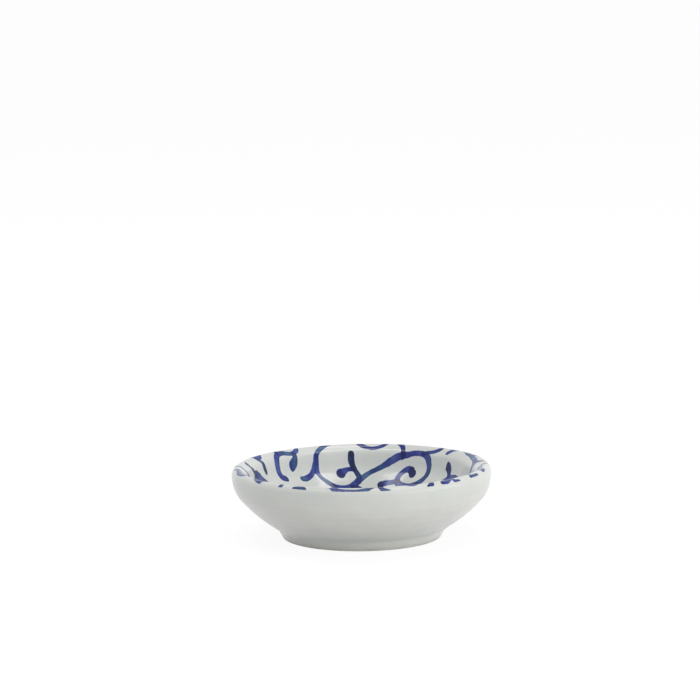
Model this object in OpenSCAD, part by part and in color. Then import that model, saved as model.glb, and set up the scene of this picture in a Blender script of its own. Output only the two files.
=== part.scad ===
// Small round sauce dish on a turned foot ring.
// Thick white porcelain with a broad rounded lip, a plain glazed outside and
// a blue painted inside: a scrolling vine round the wall and a flower spray
// over the floor.  The paint is a thin skin on the clear coat of the inside.
// Units are millimetres.  Z is up, the dish stands on z = 0 and its centre
// line is the Z axis.

/* [Dish] */
// Diameter at the widest line, just under the lip
dish_diameter = 95; // [80:1:120]
// Height from the table to the crest of the lip
dish_height = 26.2; // [24:0.2:32]
// Height of the painted floor above the table
floor_height = 5.2; // [4.8:0.1:7]

/* [Wall and lip] */
// Radius of the lip from its crest out to the widest line
lip_outer_radius = 2.6; // [2:0.1:3.2]
// Radius of the lip from its crest in to the inner wall
lip_inner_radius = 4.2; // [3.4:0.1:5]
// Radius of the belly below the widest line
belly_radius = 13.6; // [11:0.2:16]
// Radius of the long lower curve of the outer wall
wall_radius = 62; // [50:1:75]
// Radius of the curve between the floor and the inner wall
bowl_radius = 24; // [20:0.5:30]
// Slope of the lower inner wall above the table, degrees
inner_slope = 42; // [38:1:46]
// Radius of the curve between the lower and the upper inner wall
turn_radius = 9; // [7:0.2:11]
// Slope of the upper inner wall, degrees
upper_slope = 71; // [66:1:74]
// Length of the straight stretch of the upper inner wall
upper_length = 3.2; // [2:0.1:4]

/* [Foot ring] */
// Outer radius of the foot ring on the table
foot_radius = 28.9; // [26:0.1:31]
// Height at which the outer wall's curve meets the side of the foot ring
foot_height = 3.5; // [3:0.1:4]
// Inner radius of the foot ring on the table
foot_bore_radius = 25.2; // [22:0.1:26]
// Flare of the foot ring from upright, outside, degrees
foot_flare = 30; // [22:1:34]
// Flare of the foot ring from upright, inside, degrees
foot_bore_flare = 18; // [10:1:24]
// Depth of the hollow inside the foot ring
foot_hollow = 2.2; // [1.8:0.1:2.6]
// Rounding of the two edges that touch the table
foot_edge = 0.6; // [0.4:0.1:0.8]
// Radius in the corner between the foot ring and the wall
foot_neck = 1.6; // [1:0.1:2.2]
// Radius in the corner inside the foot ring
foot_corner = 1.2; // [0.8:0.1:1.6]
// Height of the bare clay left round the bottom of the foot ring
bare_height = 0.9; // [0.8:0.1:1.2]

/* [Glaze and paint] */
// Thickness of the clear coat over the clay
glaze_thickness = 0.36; // [0.3:0.02:0.5]
// Thickness of the painted skin
paint_thickness = 0.16; // [0.1:0.02:0.3]

/* [Detail] */
// Steps along each span of a painted stroke
stroke_steps = 2; // [2:1:6]
// Steps round the end of a painted stroke
cap_steps = 3; // [3:1:8]
// Points on each side of a painted leaf
leaf_steps = 7; // [6:1:16]
// Points round a painted petal
petal_steps = 16; // [12:2:36]
// Steps round each table edge of the foot ring
edge_steps = 5; // [3:1:10]
// Facets round a full turn where a plain mesh is made
circle_detail = 180; // [90:10:360]

/* [Hidden] */
$fn = circle_detail;

overrun = 1;
// How far the pieces of a section run into each other, and how far one curve
// stands over the next where the two meet
nip_share = 0.006;
lap = 4 * glaze_thickness;
nip = nip_share * glaze_thickness;
rim = dish_diameter / 2;
widest_height = dish_height - lip_outer_radius;
crest_radius = rim - lip_outer_radius;

// Middles of the arcs of the outside, in the plane of radius and height
lip_middle = [crest_radius, widest_height];
belly_middle = [rim - belly_radius, widest_height];

// The belly gives way to the wall's curve where that curve then runs through
// the side of the foot ring at the foot's height
foot_meet = foot_line(0, foot_height) - belly_middle;
arc_apart = wall_radius - belly_radius;
arc_turn = acos((arc_apart * arc_apart + foot_meet * foot_meet
    - wall_radius * wall_radius) / (2 * arc_apart * norm(foot_meet)));
belly_turn = arc_turn - atan2(foot_meet.y, foot_meet.x) - 180;
wall_middle = along(belly_middle, -arc_apart, -belly_turn);

// The neck arc touches the outer wall and the flared side of the foot ring
foot_side = 90 - foot_flare;
foot_out = [cos(foot_flare), -sin(foot_flare)];
foot_up = [sin(foot_flare), cos(foot_flare)];
neck_from = [foot_radius, 0] + foot_neck * foot_out - wall_middle;
neck_half = neck_from * foot_up;
neck_rise = -neck_half - sqrt(neck_half * neck_half
    - neck_from * neck_from + pow(wall_radius + foot_neck, 2));
neck_middle = [foot_radius, 0] + foot_neck * foot_out + neck_rise * foot_up;
neck_turn = atan2(neck_middle.y - wall_middle.y, neck_middle.x - wall_middle.x);

// Middles of the arcs of the inside, from the lip down; the floor ends where
// the lower slope asks
inner_crest = [crest_radius, dish_height - lip_inner_radius];
upper_foot = along(along(inner_crest, lip_inner_radius, 90 + upper_slope),
    upper_length, 180 + upper_slope);
turn_middle = along(upper_foot, turn_radius, 90 + upper_slope);
slope_top = along(turn_middle, turn_radius, inner_slope - 90);
slope_foot_height = floor_height + bowl_radius * (1 - cos(inner_slope));
floor_radius = slope_top.x - bowl_radius * sin(inner_slope)
    - (slope_top.y - slope_foot_height) / tan(inner_slope);
bowl_middle = [floor_radius, floor_height + bowl_radius];

// Arc in the corner inside the foot ring
bore_in = [-cos(foot_bore_flare), -sin(foot_bore_flare)];
corner_height = foot_hollow - foot_corner;
corner_middle = [foot_bore_radius - corner_height * tan(foot_bore_flare)
    - foot_corner / cos(foot_bore_flare), corner_height];

// Rounded table edges of the foot ring
outer_edge_middle = [foot_radius + foot_edge * tan(foot_flare)
    - foot_edge / cos(foot_flare), foot_edge];
bore_edge_middle = [foot_bore_radius - foot_edge * tan(foot_bore_flare)
    + foot_edge / cos(foot_bore_flare), foot_edge];

// Paint, in shares of the radius at the widest line: across, up, and width
paint_reach_share = 0.985;
// Strokes of the scrolling vine at the back, right, front and left
back_shares = [
    [[-0.48, 0.615, 0.037], [-0.45, 0.635, 0.041], [-0.415, 0.68, 0.037], [-0.39, 0.74, 0.037],
        [-0.375, 0.79, 0.037], [-0.355, 0.83, 0.037], [-0.315, 0.885, 0.037],
        [-0.255, 0.93, 0.037], [-0.175, 0.95, 0.033], [-0.1, 0.96, 0.033],
        [-0.06, 0.975, 0.033]],
    [[-0.075, 0.97, 0.033], [-0.025, 0.93, 0.037], [0.025, 0.905, 0.033],
        [0.085, 0.895, 0.033], [0.145, 0.905, 0.033], [0.195, 0.935, 0.033],
        [0.225, 0.955, 0.024]],
    [[-0.375, 0.785, 0.037], [-0.37, 0.735, 0.041], [-0.34, 0.7, 0.033], [-0.28, 0.675, 0.037],
        [-0.205, 0.66, 0.037], [-0.125, 0.67, 0.041], [-0.065, 0.705, 0.049],
        [-0.035, 0.75, 0.045], [-0.06, 0.795, 0.037], [-0.09, 0.835, 0.033]],
    [[-0.04, 0.725, 0.049], [-0.01, 0.75, 0.041], [0.045, 0.785, 0.037], [0.11, 0.805, 0.033],
        [0.195, 0.815, 0.033], [0.28, 0.81, 0.033], [0.355, 0.79, 0.033],
        [0.425, 0.765, 0.037], [0.485, 0.725, 0.037], [0.515, 0.68, 0.037],
        [0.52, 0.64, 0.041], [0.485, 0.6, 0.045], [0.425, 0.585, 0.049], [0.365, 0.595, 0.045],
        [0.315, 0.62, 0.045], [0.275, 0.655, 0.049], [0.27, 0.7, 0.045], [0.305, 0.73, 0.041],
        [0.35, 0.735, 0.037], [0.385, 0.71, 0.045]],
    [[-0.08, 0.82, 0.037], [-0.1, 0.85, 0.049], [-0.1, 0.865, 0.053]],
    [[-0.08, 0.81, 0.028], [-0.125, 0.805, 0.028], [-0.16, 0.785, 0.049], [-0.18, 0.77, 0.073]],
    [[-0.235, 0.655, 0.041], [-0.205, 0.595, 0.041]],
    [[-0.085, 0.68, 0.037], [-0.035, 0.67, 0.037], [0, 0.64, 0.049], [0.02, 0.615, 0.053]],
    [[0.38, 0.715, 0.045], [0.39, 0.685, 0.057]],
    [[0.27, 0.68, 0.037], [0.215, 0.685, 0.037], [0.16, 0.69, 0.045], [0.135, 0.685, 0.051]],
    [[0.315, 0.8, 0.033], [0.315, 0.85, 0.037], [0.3, 0.89, 0.041], [0.29, 0.91, 0.049]],
    [[0.475, 0.735, 0.033], [0.525, 0.71, 0.033], [0.575, 0.69, 0.041], [0.61, 0.69, 0.045],
        [0.645, 0.71, 0.037], [0.66, 0.715, 0.024]],
    [[0.42, 0.58, 0.037], [0.435, 0.52, 0.045], [0.455, 0.48, 0.045], [0.475, 0.46, 0.037]],
    [[0.42, 0.88, 0.012], [0.465, 0.855, 0.02], [0.515, 0.825, 0.01]]
];
right_shares = [
    [[0.67, 0.6, 0.041], [0.72, 0.6, 0.041], [0.77, 0.575, 0.033], [0.8, 0.54, 0.041],
        [0.82, 0.485, 0.041], [0.83, 0.43, 0.037], [0.85, 0.37, 0.037], [0.86, 0.31, 0.037],
        [0.875, 0.24, 0.037], [0.875, 0.175, 0.041], [0.855, 0.105, 0.041],
        [0.83, 0.07, 0.041], [0.79, 0.04, 0.045], [0.74, 0.04, 0.041]],
    [[0.545, 0.2, 0.033], [0.52, 0.25, 0.037], [0.51, 0.31, 0.041], [0.525, 0.375, 0.045],
        [0.56, 0.42, 0.041], [0.61, 0.44, 0.041], [0.66, 0.43, 0.041], [0.705, 0.375, 0.041],
        [0.73, 0.31, 0.041], [0.74, 0.25, 0.041], [0.71, 0.21, 0.041], [0.67, 0.23, 0.049],
        [0.645, 0.265, 0.057]],
    [[0.32, 0.375, 0.037], [0.355, 0.39, 0.037], [0.415, 0.38, 0.037], [0.465, 0.345, 0.037],
        [0.505, 0.29, 0.037]],
    [[0.93, -0.285, 0.024], [0.88, -0.275, 0.045], [0.83, -0.29, 0.045], [0.79, -0.315, 0.041],
        [0.755, -0.345, 0.037], [0.73, -0.375, 0.033], [0.705, -0.42, 0.031],
        [0.68, -0.48, 0.033], [0.66, -0.54, 0.037], [0.655, -0.59, 0.045], [0.67, -0.64, 0.045]],
    [[0.87, 0.36, 0.033], [0.9, 0.33, 0.041], [0.93, 0.28, 0.016]],
    [[0.875, 0.19, 0.033], [0.9, 0.14, 0.033], [0.935, 0.1, 0.037], [0.965, 0.09, 0.028]],
    [[0.82, 0.055, 0.037], [0.825, -0.005, 0.037], [0.83, -0.045, 0.041], [0.835, -0.07, 0.033]],
    [[0.645, 0.265, 0.057], [0.635, 0.31, 0.057]],
    [[0.74, 0.265, 0.037], [0.77, 0.215, 0.041], [0.795, 0.175, 0.037]],
    [[0.67, 0.43, 0.033], [0.68, 0.47, 0.033], [0.665, 0.515, 0.028]],
    [[0.965, 0.005, 0.02], [0.935, -0.03, 0.028], [0.915, -0.08, 0.033], [0.91, -0.14, 0.041],
        [0.91, -0.2, 0.037], [0.915, -0.235, 0.02]],
    [[0.94, -0.215, 0.016], [0.935, -0.26, 0.02], [0.925, -0.3, 0.016]],
    [[0.8, -0.17, 0.037], [0.82, -0.2, 0.037], [0.82, -0.24, 0.033], [0.81, -0.29, 0.033]],
    [[0.885, -0.405, 0.02], [0.865, -0.45, 0.028], [0.84, -0.485, 0.033], [0.81, -0.47, 0.034],
        [0.78, -0.475, 0.041], [0.76, -0.495, 0.053]],
    [[0.84, -0.48, 0.024], [0.835, -0.51, 0.018]],
    [[0.665, -0.625, 0.041], [0.715, -0.66, 0.037], [0.75, -0.63, 0.019]],
    [[0.67, -0.64, 0.041], [0.665, -0.68, 0.041], [0.65, -0.715, 0.041], [0.625, -0.745, 0.039]],
    [[0.49, -0.715, 0.028], [0.52, -0.75, 0.037], [0.54, -0.8, 0.041], [0.515, -0.84, 0.016]],
    [[0.585, -0.625, 0.016], [0.55, -0.655, 0.028], [0.535, -0.69, 0.023],
        [0.53, -0.725, 0.016]]
];
front_shares = [
    [[-0.21, -0.82, 0.033], [-0.22, -0.85, 0.041], [-0.21, -0.905, 0.041],
        [-0.185, -0.945, 0.045], [-0.135, -0.975, 0.041], [-0.065, -0.985, 0.037],
        [0, -0.985, 0.037], [0.06, -0.965, 0.041], [0.105, -0.93, 0.041], [0.13, -0.88, 0.045],
        [0.13, -0.84, 0.045], [0.105, -0.815, 0.028]],
    [[-0.59, -0.785, 0.037], [-0.565, -0.745, 0.037], [-0.525, -0.725, 0.037],
        [-0.475, -0.735, 0.037], [-0.415, -0.765, 0.037], [-0.355, -0.795, 0.037],
        [-0.295, -0.825, 0.037], [-0.255, -0.865, 0.045], [-0.22, -0.91, 0.041]],
    [[0.21, -0.835, 0.041], [0.245, -0.825, 0.037], [0.295, -0.81, 0.028],
        [0.34, -0.78, 0.033], [0.38, -0.745, 0.028]],
    [[0.34, -0.785, 0.033], [0.325, -0.82, 0.033], [0.34, -0.85, 0.039], [0.38, -0.865, 0.042],
        [0.415, -0.845, 0.039], [0.43, -0.81, 0.036]],
    [[0.135, -0.9, 0.037], [0.16, -0.935, 0.041], [0.185, -0.96, 0.037], [0.235, -0.96, 0.016]],
    [[-0.08, -0.885, 0.033], [-0.04, -0.89, 0.033], [-0.005, -0.875, 0.049],
        [-0.002, -0.856, 0.037]],
    [[-0.485, -0.85, 0.028], [-0.455, -0.86, 0.049], [-0.425, -0.875, 0.045],
        [-0.4, -0.905, 0.02]]
];
left_shares = [
    [[-0.985, 0.025, 0.037], [-0.95, 0.025, 0.041], [-0.895, 0.025, 0.041],
        [-0.855, -0.01, 0.041], [-0.815, -0.065, 0.041], [-0.785, -0.125, 0.037],
        [-0.77, -0.18, 0.037], [-0.76, -0.24, 0.041], [-0.76, -0.31, 0.041],
        [-0.775, -0.36, 0.041], [-0.805, -0.405, 0.041], [-0.79, -0.455, 0.037],
        [-0.785, -0.515, 0.037], [-0.77, -0.565, 0.041], [-0.75, -0.595, 0.049],
        [-0.705, -0.615, 0.037], [-0.65, -0.62, 0.037], [-0.61, -0.595, 0.041]],
    [[-0.98, -0.08, 0.033], [-0.955, -0.095, 0.041], [-0.935, -0.14, 0.041],
        [-0.93, -0.2, 0.041], [-0.925, -0.26, 0.041], [-0.905, -0.32, 0.041],
        [-0.87, -0.365, 0.041], [-0.805, -0.385, 0.041]],
    [[-0.69, 0.325, 0.041], [-0.73, 0.325, 0.041], [-0.77, 0.305, 0.041],
        [-0.805, 0.265, 0.041], [-0.815, 0.215, 0.045], [-0.805, 0.16, 0.049]],
    [[-0.695, 0.33, 0.037], [-0.67, 0.29, 0.041], [-0.655, 0.235, 0.041],
        [-0.655, 0.165, 0.041], [-0.67, 0.105, 0.041], [-0.69, 0.055, 0.041],
        [-0.73, 0.005, 0.045], [-0.765, -0.035, 0.045], [-0.815, -0.055, 0.037]],
    [[-0.755, 0.185, 0.041], [-0.765, 0.155, 0.049], [-0.785, 0.14, 0.053]],
    [[-0.89, 0.205, 0.045], [-0.865, 0.2, 0.028], [-0.83, 0.225, 0.028]],
    [[-0.915, -0.18, 0.024], [-0.885, -0.155, 0.033], [-0.86, -0.165, 0.036],
        [-0.84, -0.2, 0.037], [-0.83, -0.25, 0.045], [-0.835, -0.29, 0.045]],
    [[-0.635, -0.04, 0.037], [-0.665, -0.08, 0.041], [-0.675, -0.14, 0.045],
        [-0.66, -0.2, 0.045], [-0.635, -0.24, 0.045], [-0.605, -0.275, 0.037]],
    [[-0.76, -0.26, 0.033], [-0.73, -0.29, 0.041], [-0.695, -0.33, 0.041],
        [-0.66, -0.345, 0.037]],
    [[-0.61, -0.595, 0.033], [-0.62, -0.54, 0.028], [-0.65, -0.48, 0.028],
        [-0.695, -0.445, 0.037], [-0.715, -0.475, 0.037], [-0.7, -0.515, 0.045],
        [-0.685, -0.53, 0.033]],
    [[-0.755, -0.595, 0.041], [-0.76, -0.655, 0.024]],
    [[-0.98, 0.14, 0.02], [-0.98, 0.08, 0.028], [-0.98, 0.03, 0.028]],
    [[-0.54, 0.785, 0.037], [-0.535, 0.75, 0.037], [-0.56, 0.71, 0.033], [-0.6, 0.68, 0.037],
        [-0.645, 0.655, 0.037], [-0.675, 0.615, 0.037], [-0.68, 0.565, 0.037],
        [-0.665, 0.525, 0.041], [-0.635, 0.51, 0.041], [-0.605, 0.525, 0.037]],
    [[-0.55, 0.715, 0.037], [-0.54, 0.68, 0.041], [-0.565, 0.635, 0.041]],
    [[-0.675, 0.62, 0.033], [-0.705, 0.64, 0.041], [-0.735, 0.665, 0.041]],
    [[-0.925, 0.365, 0.033], [-0.88, 0.39, 0.041], [-0.84, 0.415, 0.049],
        [-0.82, 0.455, 0.053], [-0.83, 0.495, 0.049], [-0.845, 0.515, 0.028]],
    [[-0.83, 0.405, 0.033], [-0.785, 0.41, 0.033], [-0.765, 0.4, 0.041]]
];
// Rings of petals: across, up, petal length and width, turn of each petal
wide_ring = [0.2, -0.22, 0.4, 0.36, spread_turns(6, 12)];
inner_ring = [0.2, -0.22, 0.225, 0.22, spread_turns(5, 40)];
small_ring = [-0.3, 0.24, 0.29, 0.31, spread_turns(5, 20)];
bud_ring = [-0.36, -0.5, 0.19, 0.13, [242, 186, 214]];
open_rings = [wide_ring, small_ring, bud_ring];
// Hearts of the two open flowers: across, up and radius
heart_shares = [[0.2, -0.22, 0.055], [-0.3, 0.24, 0.045]];
// Leaves: across and up of the stalk end, turn, then length, width and bow
dark_leaf_shares = [
    [0.02, 0.13, 64, 0.45, 0.2, 0.03], [0.12, 0.14, 22, 0.36, 0.18, -0.025],
    [-0.18, -0.09, 205, 0.35, 0.17, 0.025], [0.02, -0.5, 203, 0.38, 0.18, -0.03],
    [0.27, -0.52, 288, 0.2, 0.14, 0.015], [0.52, -0.12, 12, 0.22, 0.14, 0.015]
];
pale_leaf_shares = [
    [-0.02, 0.2, 98, 0.36, 0.16, -0.03], [-0.17, -0.18, 238, 0.42, 0.16, 0.03],
    [0.45, -0.02, 40, 0.24, 0.13, 0.02], [0.42, -0.42, 325, 0.22, 0.13, 0.02]
];
// Stalks under the flowers and the leaves
stem_shares = [
    [[0.05, 0, 0.02], [-0.05, -0.2, 0.024], [-0.14, -0.4, 0.024], [-0.36, -0.5, 0.02]],
    [[-0.2, 0.1, 0.02], [0, 0, 0.022], [0.1, -0.06, 0.02]]
];
// Width of the line round a petal
petal_line_share = 0.011;
// Fullness of the petals and leaves
petal_fullness_share = 0.56;
leaf_skew_share = 0.85;
leaf_fullness_share = 0.9;

function spread_turns(count, start) = concat(
    [for (k = [0:2:count - 1]) start + 360 * k / count],
    [for (k = [1:2:count - 1]) start + 360 * k / count]);

// Points of the section, for an inset from the glazed surface
function foot_line(inset, height) = [foot_radius + height * tan(foot_flare)
    - inset / cos(foot_flare), height];
function neck_touch(inset) = neck_middle - (foot_neck + inset) * foot_out;
function bore_line(inset, height) = [foot_bore_radius
    - height * tan(foot_bore_flare) + inset / cos(foot_bore_flare), height];
function bore_touch(inset) = along(corner_middle, foot_corner + inset, foot_bore_flare);
function slope_low(inset) = along(bowl_middle, bowl_radius + inset, inner_slope - 90);
function slope_high(inset) = along(turn_middle, turn_radius + inset, inner_slope - 90);
function upper_low(inset) = along(turn_middle, turn_radius + inset, upper_slope - 90);
function upper_high(inset) = along(inner_crest, lip_inner_radius - inset, 90 + upper_slope);
function edge_points(middle, from, to) = [for (k = [0:edge_steps])
    along(middle, foot_edge, from + (to - from) * k / edge_steps)];
// Turns by which the belly, the outer wall's curve and the curves of the
// inside run on past their ends
belly_lap_turn = 5;
neck_lap_turn = 1;
bowl_lap_turn = 2;

function along(from, distance, turn) = from + distance * [cos(turn), sin(turn)];

// Smooth path through the points of a stroke
function held(points, i) = points[min(max(i, 0), len(points) - 1)];
function between(a, b, c, d, t) = (2 * b + (c - a) * t
    + (2 * a - 5 * b + 4 * c - d) * t * t
    + (3 * b - a - 3 * c + d) * t * t * t) / 2;
function smooth(points) = concat([for (i = [0:len(points) - 2])
    for (s = [0:stroke_steps - 1])
        between(held(points, i - 1), points[i], points[i + 1],
            held(points, i + 2), s / stroke_steps)],
    [points[len(points) - 1]]);
function heading(path, i) = let (a = held(path, i - 1), b = held(path, i + 1))
    atan2(b.y - a.y, b.x - a.x);
function side(path, i, turn) = along([path[i].x, path[i].y],
    path[i][2] / 2, heading(path, i) + turn);
function stroke_outline(path) = let (last = len(path) - 1) concat(
    [for (i = [0:last]) side(path, i, 90)],
    [for (k = [1:cap_steps - 1]) side(path, last, 90 - 180 * k / cap_steps)],
    [for (i = [last:-1:0]) side(path, i, -90)],
    [for (k = [1:cap_steps - 1]) side(path, 0, -90 - 180 * k / cap_steps)]);

// Petal from its base at the origin, out along X
function petal_outline(length, width) = [for (k = [0:petal_steps - 1])
    let (turn = 360 * k / petal_steps)
    [length * (1 - cos(turn)) / 2,
        petal_fullness_share * width * sin(turn) * sqrt(sin(turn / 2))]];

// Leaf from its base at the origin, out along X, with a bowed middle line
function leaf_half(width, t) = width / 2 * pow(sin(180 * pow(t, leaf_skew_share)), leaf_fullness_share);
function leaf_bow(bow, t) = 4 * bow * t * (1 - t);
function leaf_outline(length, width, bow) = concat(
    [for (k = [0:leaf_steps]) let (t = k / leaf_steps)
        [length * t, leaf_bow(bow, t) + leaf_half(width, t)]],
    [for (k = [leaf_steps - 1:-1:1]) let (t = k / leaf_steps)
        [length * t, leaf_bow(bow, t) - leaf_half(width, t)]]);

// Region of a disc between two directions from its middle
module sector(middle, radius, from, to) {
    reach = (radius + overrun) / cos((to - from) / 4);
    intersection() {
        translate(middle) circle(r = radius);
        polygon([middle, along(middle, reach, from),
            along(middle, reach, (from + to) / 2), along(middle, reach, to)]);
    }
}

// Section under the outside surface, moved in by an inset
module under_outside(inset) {
    neck_deep = along(wall_middle, wall_radius - lap, neck_turn);
    belly_deep = along(wall_middle, wall_radius - lap, -belly_turn);
    difference() {
        union() {
            polygon([[0, 0], foot_line(inset, 0), neck_touch(inset), neck_middle,
                neck_deep, belly_deep, lip_middle,
                [crest_radius, dish_height - inset], [0, dish_height - inset]]);
            difference() {
                sector(wall_middle, wall_radius - inset, neck_turn - neck_lap_turn, -belly_turn);
                translate(wall_middle) circle(r = wall_radius - 2 * lap);
            }
            sector(belly_middle, belly_radius - inset + nip, -belly_turn - belly_lap_turn, 0);
            sector(lip_middle, lip_outer_radius - inset, 0, 90);
        }
        translate(neck_middle) circle(r = foot_neck + inset + nip);
    }
}

// Section of the room above the inside surface, moved into the clay
module above_inside(inset) {
    top = max(bowl_middle.y, dish_height) + overrun;
    difference() {
        polygon([[0, floor_height - inset], [floor_radius, floor_height - inset],
            bowl_middle, slope_low(inset), slope_high(inset), turn_middle,
            upper_low(inset), upper_high(inset), inner_crest,
            [crest_radius, top], [0, top]]);
        translate(inner_crest) circle(r = lip_inner_radius - inset + nip);
    }
    sector(bowl_middle, bowl_radius + inset + nip, -90 - bowl_lap_turn,
        inner_slope - 90 + bowl_lap_turn);
    sector(turn_middle, turn_radius + inset + nip, inner_slope - 90 - bowl_lap_turn,
        upper_slope - 90 + bowl_lap_turn);
}

// Section of the hollow inside the foot ring, moved into the clay
module under_foot(inset) {
    polygon([[0, -overrun], bore_line(inset, -overrun), bore_touch(inset),
        corner_middle, [corner_middle.x, foot_hollow + inset],
        [0, foot_hollow + inset]]);
    translate(corner_middle) circle(r = foot_corner + inset + nip);
}

// Bare end of the foot ring with its two rounded edges
module foot_tip() {
    polygon(concat([bore_line(0, bare_height)],
        edge_points(bore_edge_middle, 180 + foot_bore_flare, 270),
        edge_points(outer_edge_middle, 270, 360 - foot_flare),
        [foot_line(0, bare_height)]));
}

module clay_body() {
    color("whitesmoke") rotate_extrude() {
        difference() {
            under_outside(glaze_thickness);
            above_inside(glaze_thickness);
            under_foot(glaze_thickness);
            translate([0, -overrun]) square([rim, foot_edge + overrun]);
        }
        foot_tip();
    }
}

// Coat over the floor, the inner wall and the lip, between two levels
// measured from the glazed surface into the clay
module inside_coat(low, high) {
    rotate_extrude() {
        intersection() {
            difference() {
                above_inside(low);
                above_inside(high);
            }
            square([crest_radius, dish_height - high]);
        }
        difference() {
            sector(lip_middle, lip_outer_radius - high, 0, 90);
            translate(lip_middle) circle(r = lip_outer_radius - low);
        }
    }
}

module inner_glaze() {
    color("white") inside_coat(glaze_thickness, 0);
}

module outer_glaze() {
    color("gainsboro") rotate_extrude() intersection() {
        difference() {
            under_outside(0);
            under_outside(glaze_thickness);
        }
        translate([foot_bore_radius, bare_height])
            square([rim, widest_height - bare_height]);
    }
}

module base_glaze() {
    color("gainsboro") rotate_extrude() intersection() {
        difference() {
            under_foot(glaze_thickness);
            under_foot(0);
        }
        translate([0, bare_height]) square([foot_radius, foot_hollow + overrun]);
    }
}

module stroke(points) {
    polygon(rim * stroke_outline(smooth(points)));
}

// Petal of a ring, drawn in from its edge by a share of the radius
module petal(ring, turn, inset) {
    translate(rim * [ring[0], ring[1]]) rotate(turn) translate([rim * inset, 0])
        polygon(rim * petal_outline(ring[2] - 2 * inset, ring[3] - 2 * inset));
}

// Petals are laid down in the order of their turns, each over the last
module later_petals(ring, i) {
    turns = ring[4];
    if (i + 1 < len(turns)) for (j = [i + 1:len(turns) - 1]) petal(ring, turns[j], 0);
}

module ring_cover(ring) {
    for (turn = ring[4]) petal(ring, turn, 0);
}

module ring_lines(ring) {
    turns = ring[4];
    for (i = [0:len(turns) - 1]) difference() {
        petal(ring, turns[i], 0);
        petal(ring, turns[i], petal_line_share);
        later_petals(ring, i);
    }
}

module hearts_plan() {
    for (heart = heart_shares)
        translate(rim * [heart.x, heart.y]) circle(r = rim * heart[2]);
}

module lines_plan() {
    difference() {
        for (ring = open_rings) ring_lines(ring);
        ring_cover(inner_ring);
        hearts_plan();
    }
    difference() {
        ring_lines(inner_ring);
        hearts_plan();
    }
}

module blooms_cover() {
    for (ring = open_rings) ring_cover(ring);
}

module leaf(place) {
    translate(rim * [place[0], place[1]]) rotate(place[2])
        polygon(rim * leaf_outline(place[3], place[4], place[5]));
}

module dark_leaves_plan() {
    difference() {
        union() {
            for (place = dark_leaf_shares) leaf(place);
            for (points = stem_shares) stroke(points);
        }
        blooms_cover();
    }
}

module pale_leaves_plan() {
    difference() {
        for (place = pale_leaf_shares) leaf(place);
        for (place = dark_leaf_shares) leaf(place);
        for (points = stem_shares) stroke(points);
        blooms_cover();
    }
}

// Painted skin on the clear coat, inside a drawing seen from above
module painted() {
    intersection() {
        inside_coat(0, -paint_thickness);
        linear_extrude(height = dish_height + overrun) intersection() {
            circle(r = rim * paint_reach_share);
            union() children();
        }
    }
}

module back_scroll() {
    color("royalblue") painted() for (points = back_shares) stroke(points);
}

module right_scroll() {
    color("royalblue") painted() for (points = right_shares) stroke(points);
}

module front_scroll() {
    color("royalblue") painted() for (points = front_shares) stroke(points);
}

module left_scroll() {
    color("royalblue") painted() for (points = left_shares) stroke(points);
}

module petal_lines() {
    color("navy") painted() lines_plan();
}

module dark_leaves() {
    color("midnightblue") painted() dark_leaves_plan();
}

module pale_leaves() {
    color("lightsteelblue") painted() pale_leaves_plan();
}

module flower_hearts() {
    color("midnightblue") painted() hearts_plan();
}

clay_body();
inner_glaze();
outer_glaze();
base_glaze();
back_scroll();
right_scroll();
front_scroll();
left_scroll();
petal_lines();
dark_leaves();
pale_leaves();
flower_hearts();
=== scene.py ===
import math

import bpy
import numpy as np
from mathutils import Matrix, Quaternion, Vector


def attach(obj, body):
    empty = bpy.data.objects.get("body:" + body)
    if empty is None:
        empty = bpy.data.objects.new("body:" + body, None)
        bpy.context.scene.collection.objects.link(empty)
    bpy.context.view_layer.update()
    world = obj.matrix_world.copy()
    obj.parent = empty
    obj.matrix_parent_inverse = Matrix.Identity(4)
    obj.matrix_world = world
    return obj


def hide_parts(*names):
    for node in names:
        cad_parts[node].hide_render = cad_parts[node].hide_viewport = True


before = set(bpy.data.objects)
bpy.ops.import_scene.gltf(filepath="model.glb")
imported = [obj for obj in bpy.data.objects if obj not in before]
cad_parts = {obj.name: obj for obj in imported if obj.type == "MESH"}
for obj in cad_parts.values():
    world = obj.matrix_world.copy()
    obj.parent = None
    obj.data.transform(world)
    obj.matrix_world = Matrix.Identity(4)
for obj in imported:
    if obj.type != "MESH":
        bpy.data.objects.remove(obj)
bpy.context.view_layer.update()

# Sizes of the dish in millimetres and degrees, as its solids have them
MM = 0.001
RIM = 47.5
HEIGHT = 26.2
FLOOR = 5.2
LIP_OUT = 2.6
LIP_IN = 4.2
BELLY = 13.6
WALL = 62.0
BOWL = 24.0
SLOPE = 42.0
TURN = 9.0
UPPER_SLOPE = 71.0
UPPER_LENGTH = 3.2
FOOT = 28.9
FOOT_HEIGHT = 3.5
BORE = 25.2
FOOT_FLARE = 30.0
BORE_FLARE = 18.0
HOLLOW = 2.2
EDGE = 0.6
NECK = 1.6
CORNER = 1.2
BARE = 0.9
GLAZE = 0.36

# How far the lip stands up at the right and down at the left
TILT = 0.4
# Waves round the lip: the height of each, how many there are and where they start
OUT_OF_ROUND = [(0.07, 2, 0.7), (0.03, 3, 2.1)]
OUT_OF_LEVEL = [(0.08, 2, 2.4), (0.03, 5, 0.4)]
# How far the bowl lies off the middle of the lip, across and back
OFF_MIDDLE = (-0.55, 0.25)
# How far the inside of the lip falls away below a true round
LIP_FALL = 0.55
# How much fuller the outer wall is half way up, and the share more at the right
FULLER = 0.32
FULLER_AT_RIGHT = 0.4

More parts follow.
